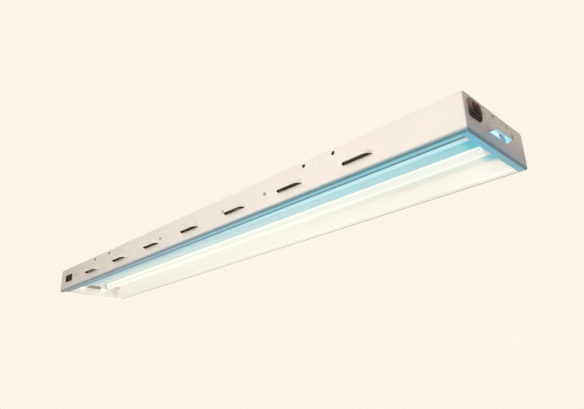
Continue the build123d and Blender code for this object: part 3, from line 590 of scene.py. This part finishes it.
class GROWLIGHT_OT_lamps(Operator):
    """Lights the lamps and makes their crimped end caps"""

    bl_idname = "growlight.lamps"
    bl_label = "Lamps"

    def execute(self, context):
        settings = context.scene.grow_light
        colours, strength = settings.colours, settings.sizes.lamp_strength
        cool, warm = (0.20, 0.20, 0.20), (0.42, 0.43, 0.41)
        glasses = (
            lamp_finish("cool lamp glass", cool, colours.cool_lamp, colours.far_cool_lamp, strength),
            lamp_finish("warm lamp glass", warm, colours.warm_lamp, colours.warm_lamp, strength),
        )
        cap_metal = metal_finish("drawn aluminium", (0.80, 0.87, 0.92), (0.72, 0.79, 0.85), 0.34)
        pin_metal = metal_finish("nickelled pins", (0.76, 0.70, 0.55), (0.62, 0.56, 0.44), 0.28)
        for number, glass in zip(LAMPS, glasses):
            finish_nodes(glass, f"lamp_{number}_tube")
            finish_nodes(pin_metal, f"lamp_{number}_pins")
            low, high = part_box(f"lamp_{number}_caps")
            centre = ((low.y + high.y) / 2, (low.z + high.z) / 2)
            radius = (high.y - low.y) / 2
            parts = [self.cap(side, high.x, radius, centre) for _, side in ENDS]
            piece(
                f"lamp_{number}_end_caps", parts, cap_metal, f"lamp_{number}",
                replaced=[f"lamp_{number}_caps"],
            )
        return {"FINISHED"}

    def cap(self, side, face, radius, centre):
        """A drawn cup round the end of the glass: its profile is turned about the lamp, with a
        rolled rim, a groove and a ring of round dimples."""
        length, glass, shoulder = 10.5 * MM, 7.9 * MM, 1.4 * MM
        inner = face - MM
        outer = radius - 0.12 * MM
        back = face - length
        groove = face - 4.2 * MM
        profile = np.vstack([
            [[inner, 0.0], [inner, glass]],
            [[back + 0.5 * MM, glass + 0.05 * MM]],
            arc((back + 0.2 * MM, radius - 0.2 * MM), 0.2 * MM, 210, 60, 6),
            [[back + 0.9 * MM, outer]],
            np.stack([
                groove + np.linspace(-1.0, 1.0, 11) * MM,
                outer - 0.28 * MM * np.cos(np.linspace(-1.0, 1.0, 11) * math.pi / 2) ** 2,
            ], axis=-1),
            arc((face - shoulder, outer - shoulder), shoulder, 90, 0, 8),
            [[face, 5.4 * MM], [face - 0.35 * MM, 5.1 * MM], [face - 0.35 * MM, 0.0]],
        ])
        dimple_x = back + 3.0 * MM
        fine = np.linspace(back + MM, groove - 1.1 * MM, 14)
        split = int(np.argmax(profile[:, 0] == groove - 1.0 * MM))
        profile = np.vstack([
            profile[:split],
            np.stack([fine, np.full_like(fine, outer)], axis=-1),
            profile[split:],
        ])

        def dimples(x, angle):
            spread = np.sin(angle * 4) * outer / 4
            from_centre = ((x - dimple_x) ** 2 + spread**2) / (0.9 * MM) ** 2
            on_wall = (x > back + 0.95 * MM) & (x < groove - MM) & (profile[:, 1:2] > glass + 0.1 * MM)
            return np.where(on_wall, -0.22 * MM * np.exp(-from_centre), 0.0)

        points = turned(profile, centre, 96, dimples)
        points[..., 0] *= side
        flat, faces = surface(points)
        if side > 0:
            faces = [corners[::-1] for corners in faces]
        return flat, faces


class GROWLIGHT_OT_lampholders(Operator):
    """Finishes the lampholders, their rotors and contacts"""

    bl_idname = "growlight.lampholders"
    bl_label = "Lampholders"

    def execute(self, context):
        white, paler = (0.84, 0.85, 0.82), (0.80, 0.81, 0.79)
        brass = metal_finish("contact brass", (0.80, 0.66, 0.34), (0.66, 0.52, 0.26), 0.34)
        # the camera looks at the lit side of the far lampholders: a painted glow, emission that stands in
        # for the lamps' light on them
        for (end, _), glow in zip(ENDS, (0.0, 0.45)):
            body = plastic_finish(f"white {end} lampholder plastic", white, 0.34, glow=glow)
            turning = plastic_finish(f"white {end} rotor plastic", paler, 0.28, glow=glow)
            for number in LAMPS:
                finish_nodes(body, f"{end}_lampholder_{number}")
                finish_nodes(turning, f"{end}_rotor_{number}")
        finish_nodes(brass, "lampholder_contacts")
        return {"FINISHED"}


class GROWLIGHT_OT_inlet(Operator):
    """Finishes the power inlet and its pins"""

    bl_idname = "growlight.inlet"
    bl_label = "Power Inlet"

    def execute(self, context):
        brown = context.scene.grow_light.colours.inlet
        finish_nodes(inlet_finish(brown), "inlet_body")
        pins = metal_finish("inlet pins", (0.70, 0.68, 0.62), (0.58, 0.56, 0.52), 0.30)
        finish_nodes(pins, "inlet_pins")
        return {"FINISHED"}


class GROWLIGHT_OT_switch(Operator):
    """Finishes the rocker switch"""

    bl_idname = "growlight.switch"
    bl_label = "Rocker Switch"

    def execute(self, context):
        brown = context.scene.grow_light.colours.switch
        finish_nodes(plastic_finish("switch frame plastic", brown, 0.6, 1400.0), "switch_frame")
        finish_nodes(plastic_finish("switch rocker plastic", brown, 0.45, 1400.0), "switch_rocker")
        tabs = metal_finish("switch tabs", (0.78, 0.66, 0.40), (0.64, 0.52, 0.30), 0.34)
        finish_nodes(tabs, "switch_terminals")
        return {"FINISHED"}


class GROWLIGHT_OT_brackets(Operator):
    """Finishes the zinc straps and brackets that carry the reflector and the lampholders"""

    bl_idname = "growlight.brackets"
    bl_label = "Straps and Brackets"

    def execute(self, context):
        straps = [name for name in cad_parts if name.startswith("cross_strap")]
        finish_nodes(zinc_finish(), *straps)
        # the socket brackets get a painted glow, emission that stands in for the lamps' light on them
        leak = [channel * 1.4 for channel in context.scene.grow_light.colours.leak]
        finish_nodes(zinc_finish("zinc in the near glow", leak), "near_socket_bracket")
        finish_nodes(zinc_finish("zinc in the far glow", FAR_BRACKET_GLOW), "far_socket_bracket")
        return {"FINISHED"}


class GROWLIGHT_OT_ballast(Operator):
    """Finishes the ballast and what it holds"""

    bl_idname = "growlight.ballast"
    bl_label = "Ballast"

    def execute(self, context):
        finish_nodes(zinc_finish(), "ballast_base", "ballast_case")
        finish_nodes(board_finish(), "ballast_board")
        finish_nodes(wound_finish(), "ballast_chokes")
        finish_nodes(plastic_finish("capacitor sleeve", (0.03, 0.05, 0.20), 0.4), "ballast_capacitors")
        blocks = plastic_finish("terminal block plastic", (0.55, 0.56, 0.55), 0.42)
        finish_nodes(blocks, "ballast_input_terminals", "ballast_output_terminals")
        return {"FINISHED"}


class GROWLIGHT_OT_fasteners(Operator):
    """Finishes the screws and the earth fastening"""

    bl_idname = "growlight.fasteners"
    bl_label = "Fasteners"

    def execute(self, context):
        steel = metal_finish("plated screw steel", (0.62, 0.61, 0.58), (0.46, 0.45, 0.43), 0.36)
        screws = [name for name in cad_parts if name.endswith(("screw", "screws"))]
        finish_nodes(steel, *screws, "earth_nut")
        brass = metal_finish("earth lug metal", (0.72, 0.68, 0.56), (0.58, 0.54, 0.44), 0.36)
        finish_nodes(brass, "earth_lug")
        return {"FINISHED"}


class GROWLIGHT_OT_leads(Operator):
    """Finishes the leads inside the housing"""

    bl_idname = "growlight.leads"
    bl_label = "Leads"

    def execute(self, context):
        black = lead_finish("black lead", (0.02, 0.02, 0.02))
        white = lead_finish("white lead", (0.80, 0.79, 0.75))
        coloured = (
            lead_finish("blue lead", (0.02, 0.05, 0.24)),
            lead_finish("red lead", (0.30, 0.02, 0.02)),
        )
        green = lead_finish("green lead", (0.03, 0.24, 0.06))
        finish_nodes(black, "live_lead", "switched_lead")
        finish_nodes(green, "earth_lead")
        finish_nodes(white, "neutral_lead")
        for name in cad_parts:
            if "_lamp_lead_" in name:
                finish_nodes(coloured[int(name[-1]) - 1], name)
        return {"FINISHED"}


class GROWLIGHT_OT_stage(Operator):
    """Sets the camera, the lights, the backdrop and the floor"""

    bl_idname = "growlight.stage"
    bl_label = "Stage"

    def execute(self, context):
        settings = context.scene.grow_light
        self.camera(context.scene, settings)
        self.world(context.scene, settings)
        self.floor(context.scene, settings)
        plain, cool = (1.0, 1.0, 1.0), (0.86, 0.97, 1.0)
        for name, place, target, size, power, colour in (
            ("key light", (0.45, -1.25, 0.10), (0.30, 0.0, 0.03), 0.7, 9.6, plain),
            ("top light", (0.0, 0.6, 2.4), (0.0, 0.0, 0.0), 1.6, 24.0, plain),
            ("back light", (-1.0, 1.3, 0.45), (-0.1, 0.0, 0.03), 0.8, 13.0, plain),
            ("low light", (0.10, -0.10, -1.30), (0.05, 0.0, 0.0), 1.0, 7.0, cool),
        ):
            self.area_light(context.scene, name, place, target, size, power, colour)
        self.leak_light(context.scene, (0.583, 0.0, 0.036))
        context.scene.view_settings.view_transform = "Standard"
        return {"FINISHED"}

    def camera(self, scene, settings):
        """Below the near end, looking up along the fixture, rolled slightly."""
        place = Vector((0.84833, -0.65900, -0.31776))
        forward = Vector((-0.653425, 0.664958, 0.361755)).normalized()
        roll = -0.030032
        level = forward.cross(Vector((0, 0, 1))).normalized()
        rise = level.cross(forward)
        right = level * math.cos(roll) + rise * math.sin(roll)
        up = rise * math.cos(roll) - level * math.sin(roll)
        data = bpy.data.cameras.new("photo camera")
        data.lens = settings.sizes.camera_lens
        data.sensor_width = 36.0
        data.clip_start = 0.01
        camera = bpy.data.objects.new("photo camera", data)
        turn = Matrix((right, up, -forward)).transposed()
        camera.matrix_world = Matrix.Translation(place) @ turn.to_4x4()
        scene.collection.objects.link(camera)
        scene.camera = camera

    def world(self, scene, settings):
        """The backdrop's colour where it is seen, and a plainer light on the fixture."""
        world = bpy.data.worlds.new("studio")
        world.use_nodes = True
        tree = world.node_tree
        tree.nodes.clear()
        output = tree.nodes.new("ShaderNodeOutputWorld")
        seen = tree.nodes.new("ShaderNodeBackground")
        seen.inputs["Color"].default_value = (*settings.colours.background, 1.0)
        light = tree.nodes.new("ShaderNodeBackground")
        light.inputs["Color"].default_value = (1.0, 0.98, 0.95, 1.0)
        light.inputs["Strength"].default_value = 0.40
        path = tree.nodes.new("ShaderNodeLightPath")
        mix = tree.nodes.new("ShaderNodeMixShader")
        tree.links.new(self.seen_rays(tree, path), mix.inputs[0])
        tree.links.new(light.outputs[0], mix.inputs[1])
        tree.links.new(seen.outputs[0], mix.inputs[2])
        tree.links.new(mix.outputs[0], output.inputs[0])
        scene.world = world

    def seen_rays(self, tree, path):
        """1 for camera, glossy and transmission rays."""
        total = path.outputs["Is Camera Ray"]
        for name in ("Is Glossy Ray", "Is Transmission Ray"):
            larger = tree.nodes.new("ShaderNodeMath")
            larger.operation = "MAXIMUM"
            tree.links.new(total, larger.inputs[0])
            tree.links.new(path.outputs[name], larger.inputs[1])
            total = larger.outputs[0]
        return total

    def floor(self, scene, settings):
        half, drop = 14.0, -settings.sizes.floor_drop
        mesh = bpy.data.meshes.new("floor")
        corners = [(-half, -half, drop), (half, -half, drop), (half, half, drop), (-half, half, drop)]
        mesh.from_pydata(corners, [], [(0, 1, 2, 3)])
        floor = bpy.data.objects.new("floor", mesh)
        scene.collection.objects.link(floor)
        finish = Finish("pale floor", settings.colours.background, roughness=0.9)
        tree = finish.tree
        path = tree.nodes.new("ShaderNodeLightPath")
        glow = tree.nodes.new("ShaderNodeEmission")
        glow.inputs["Color"].default_value = (*settings.colours.background, 1.0)
        mix = tree.nodes.new("ShaderNodeMixShader")
        tree.links.new(self.seen_rays(tree, path), mix.inputs[0])
        tree.links.new(finish.shader.outputs[0], mix.inputs[1])
        tree.links.new(glow.outputs[0], mix.inputs[2])
        tree.links.new(mix.outputs[0], tree.nodes["Material Output"].inputs[0])
        mesh.materials.append(finish.material)

    def leak_light(self, scene, place):
        """The lamps' cyan light behind the near end plate, which leaks out of its louvre."""
        data = bpy.data.lights.new("near leak light", "POINT")
        data.color = (0.45, 0.90, 1.0)
        data.energy = 0.022
        data.shadow_soft_size = 0.004
        lamp = bpy.data.objects.new("near leak light", data)
        lamp.location = place
        lamp.visible_camera = False
        lamp.visible_glossy = False
        scene.collection.objects.link(lamp)

    def area_light(self, scene, name, place, target, size, power, colour):
        data = bpy.data.lights.new(name, "AREA")
        data.color = colour
        data.size = size
        data.energy = power
        lamp = bpy.data.objects.new(name, data)
        lamp.location = place
        aim = Vector(target) - Vector(place)
        lamp.rotation_mode = "QUATERNION"
        lamp.rotation_quaternion = aim.to_track_quat("-Z", "Y")
        lamp.visible_camera = False
        lamp.visible_glossy = False
        scene.collection.objects.link(lamp)


OPERATORS = (
    GROWLIGHT_OT_stage,
    GROWLIGHT_OT_housing,
    GROWLIGHT_OT_reflector,
    GROWLIGHT_OT_lamps,
    GROWLIGHT_OT_lampholders,
    GROWLIGHT_OT_inlet,
    GROWLIGHT_OT_switch,
    GROWLIGHT_OT_brackets,
    GROWLIGHT_OT_ballast,
    GROWLIGHT_OT_fasteners,
    GROWLIGHT_OT_leads,
)


class GrowLightSettings(PropertyGroup):
    colours: PointerProperty(name="Colours", description="Colours of the finishes", type=GrowLightColours)
    sizes: PointerProperty(name="Sizes", description="Sizes and strengths", type=GrowLightSizes)


class GROWLIGHT_PT_panel(Panel):
    """Lists the steps that dress the fixture"""

    bl_idname = "GROWLIGHT_PT_panel"
    bl_label = "Grow Light"
    bl_space_type = "VIEW_3D"
    bl_region_type = "UI"
    bl_category = "Grow Light"

    def draw(self, context):
        settings = context.scene.grow_light
        for group in (settings.colours, settings.sizes):
            for name in group.bl_rna.properties.keys():
                if name not in {"rna_type", "name"}:
                    self.layout.prop(group, name)
        for operator in OPERATORS:
            self.layout.operator(operator.bl_idname)


CLASSES = (GrowLightColours, GrowLightSizes, GrowLightSettings, *OPERATORS, GROWLIGHT_PT_panel)


def register():
    for cls in CLASSES:
        bpy.utils.register_class(cls)
    bpy.types.Scene.grow_light = PointerProperty(type=GrowLightSettings)


def unregister():
    del bpy.types.Scene.grow_light
    for cls in reversed(CLASSES):
        bpy.utils.unregister_class(cls)


def main():
    register()
    for operator in OPERATORS:
        group, name = operator.bl_idname.split(".")
        getattr(getattr(bpy.ops, group), name)()


if __name__ == "__main__":
    main()
